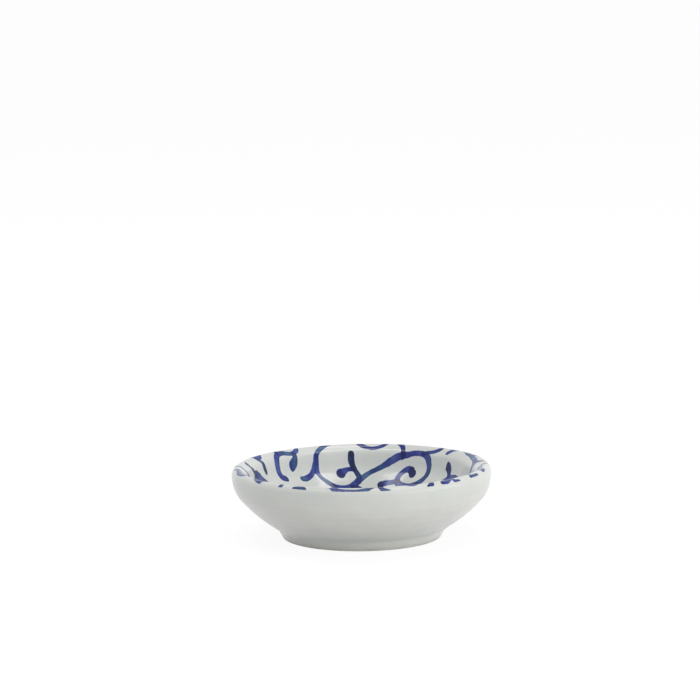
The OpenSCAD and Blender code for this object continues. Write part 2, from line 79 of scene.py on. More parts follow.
# Fineness of the turned surfaces, of the arcs in their corners, and of the
# backs of the coats, which nobody sees
RINGS_APART = 0.42
OUTSIDE_RINGS_APART = 0.5
BASE_RINGS_APART = 0.8
TIP_RINGS_APART = 0.15
CORNER_RINGS_APART = 0.3
BACK_RINGS_APART = 1.6
ROUND = 720
BASE_ROUND = 360
BACK_ROUND = 90
LEAST_ROUND = 45

# Points of a profile nearer than this are one
CLOSE = 0.01

# The bake map: radii of the disc of the face seen and of each hidden run's, and
# the middles of their discs
MAP_DISC = 0.497
MAP_CORNER_DISC = 0.07
MAP_MIDDLES = [(0.5, 0.5), (0.92, 0.08), (0.08, 0.08), (0.92, 0.92)]

# Painting, in shares of the radius at the widest line
PAINT_REACH_SHARE = 0.985
PETAL_LINE_SHARE = 0.011
PETAL_FULLNESS_SHARE = 0.56
LEAF_SKEW_SHARE = 0.85
LEAF_FULLNESS_SHARE = 0.9
# How much narrower strokes run on the steep part of the wall, and where that
# starts, is full, is still full and ends
STEEP_STRETCH = 0.32
STEEP_SHARES = (0.79, 0.845, 0.87, 0.92)
# Ribs of the leaves, in millimetres, and how far they slant
RIBS_APART = 2.4
RIB_SLANT = 1.5
# No depth is worked out farther than this from a shape, in millimetres
FAR = 4.0
# The parts of the radius that strokes are given in
STROKE_PARTS = 1000
# Steps from point to point of a stroke, points round a petal and along a leaf
PATH_STEPS = 6
PETAL_POINTS = 72
LEAF_POINTS = 28
BRUSH_SEED = 7
# How soft the edges of strokes and leaves are, and those of petals, in millimetres
SOFT_EDGE = 0.09
SOFT_PETAL_EDGE = 0.07

# Loads of cobalt from none to the most, and the colours that they fire to
COBALT_LOADS = (0.0, 0.16, 0.34, 0.52, 0.7, 0.86, 1.0)
VIOLET_BLUES = ("ffffff", "ccd0e6", "949fd0", "596bb8", "354aa6", "1e3090", "0f1a68")
GREEN_BLUES = ("ffffff", "c8d2de", "90a8c2", "567aa8", "345c90", "214376", "14294e")

# Strokes of the scrolling vine, as in the solids: across, up and width at each
# point, as shares of the radius at the widest line, in thousandths
VINE_SHARES = [
    # back
    [[-480, 615, 37], [-450, 635, 41], [-415, 680, 37], [-390, 740, 37], [-375, 790, 37],
     [-355, 830, 37], [-315, 885, 37], [-255, 930, 37], [-175, 950, 33], [-100, 960, 33],
     [-60, 975, 33]],
    [[-75, 970, 33], [-25, 930, 37], [25, 905, 33], [85, 895, 33], [145, 905, 33], [195, 935, 33],
     [225, 955, 24]],
    [[-375, 785, 37], [-370, 735, 41], [-340, 700, 33], [-280, 675, 37], [-205, 660, 37],
     [-125, 670, 41], [-65, 705, 49], [-35, 750, 45], [-60, 795, 37], [-90, 835, 33]],
    [[-40, 725, 49], [-10, 750, 41], [45, 785, 37], [110, 805, 33], [195, 815, 33], [280, 810, 33],
     [355, 790, 33], [425, 765, 37], [485, 725, 37], [515, 680, 37], [520, 640, 41],
     [485, 600, 45], [425, 585, 49], [365, 595, 45], [315, 620, 45], [275, 655, 49],
     [270, 700, 45], [305, 730, 41], [350, 735, 37], [385, 710, 45]],
    [[-80, 820, 37], [-100, 845, 49], [-100, 858, 51]],
    [[-80, 810, 28], [-125, 805, 28], [-160, 785, 49], [-180, 770, 73]],
    [[-235, 655, 41], [-205, 595, 41]],
    [[-85, 680, 37], [-35, 670, 37], [0, 640, 49], [20, 615, 53]],
    [[380, 715, 45], [390, 685, 57]],
    [[270, 680, 37], [215, 685, 37], [160, 690, 45], [135, 685, 51]],
    [[315, 800, 33], [315, 850, 37], [300, 890, 41], [290, 910, 49]],
    [[475, 735, 33], [525, 710, 33], [575, 690, 41], [610, 690, 45], [645, 710, 37],
     [660, 715, 24]],
    [[420, 580, 37], [435, 520, 45], [455, 480, 45], [475, 460, 37]],
    [[420, 880, 12], [465, 855, 20], [515, 825, 10]],
    # right
    [[670, 600, 41], [720, 600, 41], [770, 575, 33], [800, 540, 41], [820, 485, 41],
     [830, 430, 37], [850, 370, 37], [860, 310, 37], [875, 240, 37], [875, 175, 41],
     [855, 105, 41], [830, 70, 41], [790, 40, 45], [740, 40, 41]],
    [[545, 200, 33], [520, 250, 37], [510, 310, 41], [525, 375, 45], [560, 420, 41],
     [610, 440, 41], [660, 430, 41], [705, 375, 41], [730, 310, 41], [740, 250, 41],
     [710, 210, 41], [670, 230, 49], [645, 265, 57]],
    [[320, 375, 37], [355, 390, 37], [415, 380, 37], [465, 345, 37], [505, 290, 37]],
    [[930, -285, 24], [880, -275, 45], [830, -290, 45], [790, -315, 41], [755, -345, 37],
     [730, -375, 33], [705, -420, 31], [680, -480, 33], [660, -540, 37], [655, -590, 45],
     [670, -640, 45]],
    [[870, 360, 33], [900, 330, 41], [930, 280, 16]],
    [[875, 190, 33], [900, 140, 33], [935, 100, 37], [965, 90, 28]],
    [[820, 55, 37], [825, -5, 37], [830, -45, 41], [835, -70, 33]],
    [[645, 265, 57], [635, 310, 57]],
    [[740, 265, 37], [770, 215, 41], [795, 175, 37]],
    [[670, 430, 33], [680, 470, 33], [665, 515, 28]],
    [[965, 5, 20], [935, -30, 28], [915, -80, 33], [910, -140, 41], [910, -200, 37],
     [915, -235, 20]],
    [[940, -215, 16], [935, -260, 20], [925, -300, 16]],
    [[800, -170, 37], [820, -200, 37], [820, -240, 33], [810, -290, 33]],
    [[885, -405, 20], [865, -450, 28], [840, -485, 33], [810, -470, 34], [780, -475, 41],
     [760, -495, 53]],
    [[840, -480, 24], [835, -510, 18]],
    [[665, -625, 41], [715, -660, 37], [750, -630, 19]],
    [[670, -640, 41], [665, -680, 41], [650, -715, 41], [625, -745, 39]],
    [[490, -715, 28], [520, -750, 37], [540, -800, 41], [515, -840, 16]],
    [[585, -625, 16], [550, -655, 28], [535, -690, 23], [530, -725, 16]],
    # front
    [[-210, -820, 33], [-220, -850, 41], [-210, -905, 41], [-185, -945, 45], [-135, -975, 41],
     [-65, -985, 37], [0, -985, 37], [60, -965, 41], [105, -930, 41], [130, -880, 45],
     [130, -840, 45], [105, -815, 28]],
    [[-590, -785, 37], [-565, -745, 37], [-525, -725, 37], [-475, -735, 37], [-415, -765, 37],
     [-355, -795, 37], [-295, -825, 37], [-255, -865, 45], [-220, -910, 41]],
    [[210, -835, 41], [245, -825, 37], [295, -810, 28], [340, -780, 33], [380, -745, 28]],
    [[340, -785, 33], [325, -820, 33], [340, -850, 39], [380, -865, 42], [415, -845, 39],
     [430, -810, 36]],
    [[135, -900, 37], [160, -935, 41], [185, -960, 37], [235, -960, 16]],
    [[-80, -885, 33], [-40, -890, 33], [-5, -875, 49], [-2, -856, 37]],
    [[-485, -850, 28], [-455, -860, 49], [-425, -875, 45], [-400, -905, 20]],
    # left
    [[-985, 25, 37], [-950, 25, 41], [-895, 25, 41], [-855, -10, 41], [-815, -65, 41],
     [-785, -125, 37], [-770, -180, 37], [-760, -240, 41], [-760, -310, 41], [-775, -360, 41],
     [-805, -405, 41], [-790, -455, 37], [-785, -515, 37], [-770, -565, 41], [-750, -595, 49],
     [-705, -615, 37], [-650, -620, 37], [-610, -595, 41]],
    [[-980, -80, 33], [-955, -95, 41], [-935, -140, 41], [-930, -200, 41], [-925, -260, 41],
     [-905, -320, 41], [-870, -365, 41], [-805, -385, 41]],
    [[-690, 325, 41], [-730, 325, 41], [-770, 305, 41], [-805, 265, 41], [-815, 215, 45],
     [-805, 160, 49]],
    [[-695, 330, 37], [-670, 290, 41], [-655, 235, 41], [-655, 165, 41], [-670, 105, 41],
     [-690, 55, 41], [-730, 5, 45], [-765, -35, 45], [-815, -55, 37]],
    [[-755, 185, 41], [-765, 155, 49], [-785, 140, 53]],
    [[-890, 205, 45], [-865, 200, 28], [-830, 225, 28]],
    [[-915, -180, 24], [-885, -155, 33], [-860, -165, 36], [-840, -200, 37], [-830, -250, 45],
     [-835, -290, 45]],
    [[-635, -40, 37], [-665, -80, 41], [-675, -140, 45], [-660, -200, 45], [-635, -240, 45],
     [-605, -275, 37]],
    [[-760, -260, 33], [-730, -290, 41], [-695, -330, 41], [-660, -345, 37]],
    [[-610, -595, 33], [-620, -540, 28], [-650, -480, 28], [-695, -445, 37], [-715, -475, 37],
     [-700, -515, 45], [-685, -530, 33]],
    [[-755, -595, 41], [-760, -655, 24]],
    [[-980, 140, 20], [-980, 80, 28], [-980, 30, 28]],
    [[-540, 785, 37], [-535, 750, 37], [-560, 710, 33], [-600, 680, 37], [-645, 655, 39],
     [-675, 615, 43], [-680, 565, 45], [-665, 525, 50], [-635, 510, 50], [-605, 525, 45]],
    [[-550, 715, 37], [-540, 680, 41], [-565, 635, 41]],
    [[-675, 620, 33], [-705, 640, 41], [-735, 665, 41]],
    [[-925, 365, 33], [-880, 390, 41], [-840, 415, 49], [-820, 455, 53], [-830, 495, 49],
     [-845, 515, 28]],
    [[-830, 405, 33], [-785, 410, 33], [-765, 400, 41]],
]
# Stalks under the flowers and the leaves, given likewise
STALK_SHARES = [
    [[50, 0, 20], [-50, -200, 24], [-140, -400, 24], [-360, -500, 20]],
    [[-200, 100, 20], [0, 0, 22], [100, -60, 20]],
]
# Leaves, as shares of that radius: across and up of the stalk end, turn in
# degrees, then length, width and bow
DARK_LEAF_SHARES = [
    [0.02, 0.13, 64, 0.45, 0.2, 0.03], [0.12, 0.14, 22, 0.36, 0.18, -0.025],
    [-0.18, -0.09, 205, 0.35, 0.17, 0.025], [0.02, -0.5, 203, 0.38, 0.18, -0.03],
    [0.27, -0.52, 288, 0.2, 0.14, 0.015], [0.52, -0.12, 12, 0.22, 0.14, 0.015],
]
PALE_LEAF_SHARES = [
    [-0.02, 0.2, 98, 0.36, 0.16, -0.03], [-0.17, -0.18, 238, 0.42, 0.16, 0.03],
    [0.45, -0.02, 40, 0.24, 0.13, 0.02], [0.42, -0.42, 325, 0.22, 0.13, 0.02],
]
# Rings of petals: across, up, petal length and width, and the turns of the
# petals, layer over layer
RING_SHARES = {
    "wide": [0.2, -0.22, 0.4, 0.36, [[12, 132, 252], [72, 192, 312]]],
    "inner": [0.2, -0.22, 0.225, 0.22, [[40, 184], [328], [112, 256]]],
    "small": [-0.3, 0.24, 0.29, 0.31, [[20, 164], [308], [92, 236]]],
    "bud": [-0.36, -0.5, 0.19, 0.13, [[242], [186], [214]]],
}
# Hearts of the two open flowers: across, up and radius
HEART_SHARES = [[0.2, -0.22, 0.055], [-0.3, 0.24, 0.045]]


def cosine(turn):
    return math.cos(math.radians(turn))


def sine(turn):
    return math.sin(math.radians(turn))


def tangent(turn):
    return math.tan(math.radians(turn))


def turned(x, y, turn):
    """A point or points turned about the origin by degrees."""
    c, s = cosine(turn), sine(turn)
    return c * x - s * y, s * x + c * y


def along(start, distance, turn):
    dx, dy = turned(distance, 0, turn)
    return (start[0] + dx, start[1] + dy)


def soft_step(x, low, high):
    t = np.clip((x - low) / (high - low), 0, 1)
    return t * t * (3 - 2 * t)


def soft_band(x, start, full, full_end, end):
    """Nought outside start and end, and one from full to full_end."""
    return soft_step(x, start, full) * (1 - soft_step(x, full_end, end))


def in_scene(name, data):
    thing = bpy.data.objects.new(name, data)
    bpy.context.scene.collection.objects.link(thing)
    return thing


# The section of the dish: arcs and lines in the plane of radius and height


def arc(middle, radius, start, end, apart):
    count = max(2, math.ceil(abs(radius * math.radians(end - start)) / apart))
    return [along(middle, radius, start + (end - start) * k / count) for k in range(count + 1)]


def line(start, end, apart):
    count = max(1, math.ceil(math.dist(start, end) / apart))
    return [tuple(a + (b - a) * k / count for a, b in zip(start, end)) for k in range(count + 1)]


def joined(*runs):
    points = []
    for run in runs:
        for p in run:
            if not points or math.dist(p, points[-1]) > CLOSE:
                points.append(p)
    return points


def foot_side(height):
    return (FOOT + height * tangent(FOOT_FLARE), height)


def bore_side(height):
    return (BORE - height * tangent(BORE_FLARE), height)


WIDEST = HEIGHT - LIP_OUT
CREST = RIM - LIP_OUT
LIP_MIDDLE = (CREST, WIDEST)
BELLY_MIDDLE = (RIM - BELLY, WIDEST)


def belly_turn():
    """Where the belly gives way to the wall's curve, for that to reach the foot."""
    x, y = (a - b for a, b in zip(foot_side(FOOT_HEIGHT), BELLY_MIDDLE))
    apart = WALL - BELLY
    share = (apart ** 2 + x ** 2 + y ** 2 - WALL ** 2) / (2 * apart * math.hypot(x, y))
    return math.degrees(math.acos(share) - math.atan2(y, x)) - 180


BELLY_TURN = belly_turn()
WALL_MIDDLE = along(BELLY_MIDDLE, BELLY - WALL, -BELLY_TURN)
INNER_CREST = (CREST, HEIGHT - LIP_IN)
UPPER_TOP = along(INNER_CREST, LIP_IN, 90 + UPPER_SLOPE)
UPPER_FOOT = along(UPPER_TOP, UPPER_LENGTH, 180 + UPPER_SLOPE)
TURN_MIDDLE = along(UPPER_FOOT, TURN, 90 + UPPER_SLOPE)
SLOPE_TOP = along(TURN_MIDDLE, TURN, SLOPE - 90)
SLOPE_FOOT_HEIGHT = FLOOR + BOWL * (1 - cosine(SLOPE))
FLOOR_RADIUS = (SLOPE_TOP[0] - BOWL * sine(SLOPE)
                - (SLOPE_TOP[1] - SLOPE_FOOT_HEIGHT) / tangent(SLOPE))
BOWL_MIDDLE = (FLOOR_RADIUS, FLOOR + BOWL)


def neck_middle():
    """The neck arc touches the outer wall and the flared side of the foot."""
    out = along((0, 0), 1, -FOOT_FLARE)
    up = along((0, 0), 1, 90 - FOOT_FLARE)
    start = (FOOT + NECK * out[0], NECK * out[1])
    away = (start[0] - WALL_MIDDLE[0], start[1] - WALL_MIDDLE[1])
    half = away[0] * up[0] + away[1] * up[1]
    rise = -half - math.sqrt(half ** 2 - away[0] ** 2 - away[1] ** 2 + (WALL + NECK) ** 2)
    return (start[0] + rise * up[0], start[1] + rise * up[1])


NECK_MIDDLE = neck_middle()
NECK_TURN = math.degrees(math.atan2(NECK_MIDDLE[1] - WALL_MIDDLE[1],
                                    NECK_MIDDLE[0] - WALL_MIDDLE[0]))


def inside_section(inset, apart):
    """From the middle of the floor up over the lip to the widest line."""
    return joined(
        line((0, FLOOR - inset), (FLOOR_RADIUS, FLOOR - inset), apart),
        arc(BOWL_MIDDLE, BOWL + inset, -90, SLOPE - 90, apart),
        line(along(BOWL_MIDDLE, BOWL + inset, SLOPE - 90),
             along(TURN_MIDDLE, TURN + inset, SLOPE - 90), apart),
        arc(TURN_MIDDLE, TURN + inset, SLOPE - 90, UPPER_SLOPE - 90, apart),
        line(along(TURN_MIDDLE, TURN + inset, UPPER_SLOPE - 90),
             along(INNER_CREST, LIP_IN - inset, 90 + UPPER_SLOPE), apart),
        arc(INNER_CREST, LIP_IN - inset, 90 + UPPER_SLOPE, 90, apart),
        # Ever finer toward the widest line, where the two coats meet
        arc(LIP_MIDDLE, LIP_OUT - inset, 90, 8, apart),
        arc(LIP_MIDDLE, LIP_OUT - inset, 8, 2, apart / 3),
        arc(LIP_MIDDLE, LIP_OUT - inset, 2, 0, apart / 12),
    )


def outside_section(inset, apart):
    """From the widest line down to the end of the glaze on the foot ring."""
    neck_end = along(NECK_MIDDLE, NECK + inset, 180 - FOOT_FLARE)
    neck_apart = min(apart, CORNER_RINGS_APART)
    low = foot_side(BARE)
    low = (low[0] - inset / cosine(FOOT_FLARE), low[1])
    return joined(
        arc(BELLY_MIDDLE, BELLY - inset, 0, -1, apart / 6),
        arc(BELLY_MIDDLE, BELLY - inset, -1, -BELLY_TURN, apart),
        arc(WALL_MIDDLE, WALL - inset, -BELLY_TURN, NECK_TURN, apart),
        arc(NECK_MIDDLE, NECK + inset, NECK_TURN + 180, 180 - FOOT_FLARE, neck_apart),
        line(neck_end, low, apart),
    )


CORNER_HEIGHT = HOLLOW - CORNER
CORNER_MIDDLE = (bore_side(CORNER_HEIGHT)[0] - CORNER / cosine(BORE_FLARE), CORNER_HEIGHT)


def under_section(inset, apart):
    """From the end of the glaze inside the foot ring in to the middle."""
    low = bore_side(BARE)
    low = (low[0] + inset / cosine(BORE_FLARE), low[1])
    corner_apart = min(apart, CORNER_RINGS_APART)
    return joined(
        line(low, along(CORNER_MIDDLE, CORNER + inset, BORE_FLARE), apart),
        arc(CORNER_MIDDLE, CORNER + inset, BORE_FLARE, 90, corner_apart),
        line((CORNER_MIDDLE[0], HOLLOW + inset), (0, HOLLOW + inset), apart),
    )


def foot_tip_section(apart):
    """The bare end of the foot ring, from its outer side to its bore."""
    outer = (foot_side(EDGE)[0] - EDGE / cosine(FOOT_FLARE), EDGE)
    inner = (bore_side(EDGE)[0] + EDGE / cosine(BORE_FLARE), EDGE)
    return joined(
        line(foot_side(BARE), along(outer, EDGE, -FOOT_FLARE), apart),
        arc(outer, EDGE, -FOOT_FLARE, -90, apart),
        line((outer[0], 0), (inner[0], 0), apart),
        arc(inner, EDGE, -90, BORE_FLARE - 180, apart),
        line(along(inner, EDGE, BORE_FLARE - 180), bore_side(BARE), apart),
    )


# Turned surfaces

# Where each departure from a true round starts, is full, is still full and ends
FULLER_HEIGHTS = (5, 10, 15, 22)
FALLING_RADII = (CREST - 5.6, CREST - 2.6, CREST - 2.2, CREST)
# Between these radii the bowl comes to lie off the middle
OFF_MIDDLE_RADII = (CREST - 2.4, CREST + 0.4)


def around(radius, most):
    """How many points a ring has: halved as often as its radius allows."""
    count = most
    while count > LEAST_ROUND and radius < RIM * count / ROUND * 0.5:
        count //= 2
    return count


def waves(rows, angle):
    return sum(high * np.sin(many * angle + start) for high, many, start in rows)


def hand_turned(radius, height, angle):
    """What turning by hand leaves: a lip that isn't quite round or level."""
    rise = np.clip(height / HEIGHT, 0, 1) ** 2
    out = rise * waves(OUT_OF_ROUND, angle)
    up = rise * waves(OUT_OF_LEVEL, angle) + rise ** 2 * TILT * np.cos(angle)
    return radius + out * radius / RIM, height + up * radius / RIM


def worn_inside(radius):
    """How far a ring of the inside is moved across, back and up; the lip's top stays."""
    off = 1 - soft_step(radius, *OFF_MIDDLE_RADII)
    return off * OFF_MIDDLE[0], off * OFF_MIDDLE[1], -LIP_FALL * soft_band(radius, *FALLING_RADII)


def fuller_outside(height, angle):
    """How far out the outer wall stands half way up."""
    return FULLER * soft_band(height, *FULLER_HEIGHTS) * (1 + FULLER_AT_RIGHT * np.cos(angle))


def ring_points(at, inner, angle):
    radius, height = hand_turned(*at, angle)
    across, back, up = 0, 0, 0
    if inner:
        across, back, up = worn_inside(at[0])
    else:
        radius = radius + fuller_outside(at[1], angle)
    x, y = radius * np.cos(angle) + across, radius * np.sin(angle) + back
    return np.stack([x, y, height + up], 1)


def rings_of(sections):
    """A ring for each point of the profile, with the count of points round it."""
    rings = []
    for index, (points, most, inner) in enumerate(sections):
        walked = 0
        for k, p in enumerate(points):
            if k:
                walked += math.dist(p, points[k - 1])
            elif index and math.dist(p, rings[-1]["at"]) < CLOSE / 2:
                continue
            count = 1 if p[0] < CLOSE else around(p[0], most)
            rings.append({"at": p, "run": index, "walked": walked, "inner": inner, "count": count})
    # Neighbours have as many points, or half or twice as many
    for order in (rings, rings[::-1]):
        for before, ring in zip(order[:-1], order[1:]):
            if before["count"] > 1 and ring["count"] > 1:
                ring["count"] = min(max(ring["count"], before["count"] // 2), before["count"] * 2)
    return rings


def band(na, nb, sa, sb):
    """The faces between two rings of na and nb points that start at sa and sb."""
    if na == 1 and nb == 1:
        return []
    if na == 1:
        return [(sa, sb + k, sb + (k + 1) % nb) for k in range(nb)]
    if nb == 1:
        return [(sa + (k + 1) % na, sa + k, sb) for k in range(na)]
    if na == nb:
        return [(sa + k, sb + k, sb + (k + 1) % nb, sa + (k + 1) % na) for k in range(na)]
    # Three faces for each point of the ring with half as many
    few, start, fine = (na, sa, sb) if na < nb else (nb, sb, sa)
    made = []
    for k in range(few):
        f = fine + 2 * k
        last = fine + (2 * k + 2) % (2 * few)
        near, far = start + k, start + (k + 1) % few
        made += [(near, f, f + 1), (near, f + 1, far), (far, f + 1, last)]
    return made if na < nb else [(a, c, b) for a, b, c in made]


def turned_mesh(name, sections, disc):
    """A closed surface of rings round the centre line.

    sections: runs of the profile, each with the most points that a ring has
    and whether it belongs to the inside of the bowl.
    The face seen is mapped to a disc by its distance along the profile, from
    the radius disc on, and every later run to a small disc in a corner.
    """
    rings = rings_of(sections)
    counts = [ring["count"] for ring in rings]
    angles = [np.arange(count) * (2 * math.pi / count) for count in counts]
    starts = np.cumsum([0] + counts).tolist()
    co = np.concatenate([ring_points(ring["at"], ring["inner"], angle)
                         for ring, angle in zip(rings, angles)])
    faces, face_runs, smooth = [], [], []
    for a, b, sa, sb in zip(rings[:-1], rings[1:], starts[:-1], starts[1:]):
        made = band(a["count"], b["count"], sa, sb)
        faces += made
        face_runs += [b["run"]] * len(made)
        smooth += [a["run"] == b["run"]] * len(made)
    mesh = bpy.data.meshes.new(name)
    mesh.from_pydata((co * MM).tolist(), [], faces)
    mesh.validate()
    piece = in_scene(name, mesh)
    mesh.polygons.foreach_set("use_smooth", smooth)
    ring_of = np.repeat(np.arange(len(rings)), counts)
    bake_map(mesh, rings, ring_of, np.concatenate(angles), np.array(face_runs), disc)
    return piece, co, np.array([ring["run"] for ring in rings])[ring_of]


def bake_map(mesh, rings, ring_of, angle, face_runs, disc):
    """Maps the face seen to a disc and each hidden run to a small one."""
    layer = mesh.uv_layers.new(name="OFBake")
    loops = np.zeros(len(mesh.loops), int)
    mesh.loops.foreach_get("vertex_index", loops)
    totals = np.zeros(len(mesh.polygons), int)
    mesh.polygons.foreach_get("loop_total", totals)
    runs = np.repeat(face_runs, totals)
    walked = np.array([ring["walked"] for ring in rings])
    ring_run = np.array([ring["run"] for ring in rings])
    ring = ring_of[loops]
    # The first ring of a run is the last of the one before it
    at = np.where(ring_run[ring] == runs, walked[ring], 0.0)
    # The face seen may start in the middle of its disc or at the edge
    low, high = disc, MAP_DISC
    if rings[0]["at"][0] > max(rings[-1]["at"][0], 1):
        low, high = high, low
    uv = np.zeros((len(loops), 2))
    for run in range(ring_run[-1] + 1):
        here = runs == run
        share = at[here] / walked[ring_run == run].max()
        if run == 0:
            radius = low + (high - low) * share
        else:
            radius = MAP_CORNER_DISC * (0.05 + 0.9 * share)
        uv[here, 0] = MAP_MIDDLES[run][0] + radius * np.cos(angle[loops[here]])
        uv[here, 1] = MAP_MIDDLES[run][1] + radius * np.sin(angle[loops[here]])
    layer.data.foreach_set("uv", uv.ravel())


# The painting, as fields over the plan of the dish: how deep inside its shape
# each point lies, in millimetres, and how much colour the brush left there


def unpainted(xy):
    return np.full(len(xy), -FAR)


def near(xy, outline):
    low, high = outline.min(0) - FAR, outline.max(0) + FAR
    return np.flatnonzero(((xy > low) & (xy < high)).all(1))


def smooth_path(points):
    """A curve through the points of a stroke, in millimetres."""
    p = np.array(points) / STROKE_PARTS * RIM
    held = np.vstack([p[:1], p, p[-1:]])
    out = []
    for i in range(len(p) - 1):
        a, b, c, d = held[i:i + 4]
        for t in np.arange(PATH_STEPS) / PATH_STEPS:
            out.append((2 * b + (c - a) * t + (2 * a - 5 * b + 4 * c - d) * t ** 2
                        + (3 * b - a - 3 * c + d) * t ** 3) / 2)
    return np.array(out + [p[-1]])


def steepness(radius, outward):
    """How much narrower strokes run on the steep part of the wall, least at its sides."""
    return 1 + STEEP_STRETCH * soft_band(radius / RIM, *STEEP_SHARES) * outward[:, 1] ** 2


def over_stroke(xy, points):
    """Points near a stroke, with their depth in it, their place along it and the
    half width there, and the stroke's length."""
    path = smooth_path(points)
    which = near(xy, path[:, :2])
    xy = xy[which]
    radius = np.maximum(np.hypot(*xy.T), 1e-6)
    outward = xy / radius[:, None]
    stretch = steepness(radius, outward)
    depth = np.full(len(xy), -99.0)
    place = np.zeros(len(xy))
    half = np.ones(len(xy))
    steps = np.hypot(*np.diff(path[:, :2], axis=0).T)
    walked = np.concatenate([[0], np.cumsum(steps)])
    for k, step in enumerate(steps):
        a, b = path[k], path[k + 1]
        span = b[:2] - a[:2]
        t = np.clip(((xy - a[:2]) @ span) / max(step ** 2, 1e-9), 0, 1)
        off = xy - a[:2] - t[:, None] * span
        out = (off * outward).sum(1)
        away = np.sqrt((off ** 2).sum(1) + (stretch ** 2 - 1) * out ** 2)
        wide = (a[2] + (b[2] - a[2]) * t) / 2
        better = wide - away > depth
        depth = np.where(better, wide - away, depth)
        place = np.where(better, walked[k] + t * step, place)
        half = np.where(better, wide, half)
    return which, depth, place, half, walked[-1]


def outline_depth(xy, outline):
    """Depth inside a closed outline, negative outside it."""
    away = np.full(len(xy), 1e9)
    inside = np.zeros(len(xy), bool)
    for a, b in zip(outline, np.roll(outline, -1, axis=0)):
        span = b - a
        t = np.clip(((xy - a) @ span) / max(span @ span, 1e-12), 0, 1)
        away = np.minimum(away, np.hypot(*(xy - a - t[:, None] * span).T))
        crosses = (a[1] > xy[:, 1]) != (b[1] > xy[:, 1])
        if span[1]:
            inside ^= crosses & (xy[:, 0] < a[0] + (xy[:, 1] - a[1]) * span[0] / span[1])
    return np.where(inside, away, -away)


def petal_outline(length, width):
    turn = np.arange(PETAL_POINTS) * 2 * math.pi / PETAL_POINTS
    return np.stack([length * (1 - np.cos(turn)) / 2,
                     PETAL_FULLNESS_SHARE * width * np.sin(turn) * np.sqrt(np.sin(turn / 2))], 1)


def leaf_outline(length, width, bow):
    t = np.arange(LEAF_POINTS + 1) / LEAF_POINTS
    half = width / 2 * np.sin(math.pi * t ** LEAF_SKEW_SHARE) ** LEAF_FULLNESS_SHARE
    half[-1] = 0
    mid = 4 * bow * t * (1 - t)
    upper = np.stack([length * t, mid + half], 1)
    lower = np.stack([length * t, mid - half], 1)[-2:0:-1]
    return np.vstack([upper, lower])


def over_shape(xy, outline, x, y, turn):
    """Points near an outline put in place, their depth in it, and where it has them."""
    px, py = turned(outline[:, 0], outline[:, 1], turn)
    outline = np.stack([px + x, py + y], 1) * RIM
    which = near(xy, outline)
    xy = xy[which]
    ux, uy = turned(xy[:, 0] / RIM - x, xy[:, 1] / RIM - y, -turn)
    return which, outline_depth(xy, outline), ux, uy


def wave(place, length, start):
    return np.sin(2 * math.pi * place / length + start)


def vine_fields(xy):
    """Depth inside the vine, the colour that the brush left and how green it fires."""
    rng = np.random.default_rng(BRUSH_SEED)
    depth = unpainted(xy)
    load, green, layers, weight = np.zeros((4, len(xy)))
    for points in VINE_SHARES:
        which, d, place, half, length = over_stroke(xy, points)
        left = length - place
        # Each stroke has a tone of its own, which a slow and a quick wave change
        tone = rng.uniform(0.7, 0.9)
        starts = [rng.uniform(0, 2 * math.pi) for _ in range(3)]
        lengths = [rng.uniform(9, 16), rng.uniform(4, 7)]
        varied = tone + 0.07 * wave(place, lengths[0], starts[0])
        varied += 0.05 * wave(place, lengths[1], starts[1])
        # The brush leaves most colour where it sets down and where it lifts
        varied += 0.12 * np.exp(-place / 1.4) + 0.24 * np.exp(-left / 1.6)
        # Strokes are lighter toward the left and at the far right
        across = xy[which, 0] / RIM
        varied -= 0.15 * soft_step(-across, 0.15, 0.4) + 0.12 * soft_step(across, 0.55, 0.8)
        # A wet stroke dries darker along its edges
        inward = np.clip(d / half, 0, 1)
        wet = soft_step(half, 0.75, 1.0)
        varied -= 0.1 * wet * soft_step(inward, 0.15, 0.8) * (1 - np.exp(-left / 2.2))
        tint = 0.5 + 0.5 * wave(place, rng.uniform(12, 30), starts[2])
        inside = soft_step(d, -0.35, 0.35)
        # Outside every stroke the nearest one gives its colour
        w = inside + 1e-4 * np.exp(np.clip(d, -FAR, 0))
        load[which] += w * varied
        green[which] += w * tint
        weight[which] += w
        layers[which] += inside
        depth[which] = np.maximum(depth[which], d)
    weight = np.maximum(weight, 1e-9)
    # Where strokes cross there is more colour
    load = load / weight + 0.16 * np.clip(layers - 1, 0, 1.5)
    return depth, load, green / weight


def leaf_fields(xy, shares):
    """Deepest of several leaves, and the place along and across the leaf."""
    depth = unpainted(xy)
    where = np.zeros((len(xy), 3))
    for x, y, turn, length, width, bow in shares:
        which, d, ux, uy = over_shape(xy, leaf_outline(length, width, bow), x, y, turn)
        t = ux / length
        across = (uy - 4 * bow * t * (1 - t)) * RIM
        better = d > depth[which]
        depth[which] = np.maximum(depth[which], d)
        local = np.stack([t, across, np.full(len(t), length * RIM)], 1)
        where[which[better]] = local[better]
    return depth, where


def petal_fields(xy, ring):
    """One depth for each layer of a ring's petals, and the wash at their base."""
    x, y, length, width, layers = RING_SHARES[ring]
    depths = np.full((len(xy), 3), -FAR)
    wash = np.zeros(len(xy))
    for index, turns in enumerate(layers):
        for turn in turns:
            which, d, ux, uy = over_shape(xy, petal_outline(length, width), x, y, turn)
            base = (1 - soft_step(ux / length, 0.22, 0.72)) * soft_step(d, 0.1, 0.9)
            base *= 1 - soft_step(np.abs(uy) / (0.3 * width), 0.3, 1.3)
            inside = soft_step(d, -0.25, 0.25)
            wash[which] = wash[which] * (1 - inside) + base * inside
            depths[which, index] = np.maximum(depths[which, index], d)
    return depths, wash


def give(mesh, name, values):
    values = np.asarray(values, np.float32)
    kind, part = ("FLOAT", "value") if values.ndim == 1 else ("FLOAT_VECTOR", "vector")
    mesh.attributes.new(name, kind, "POINT").data.foreach_set(part, values.ravel())


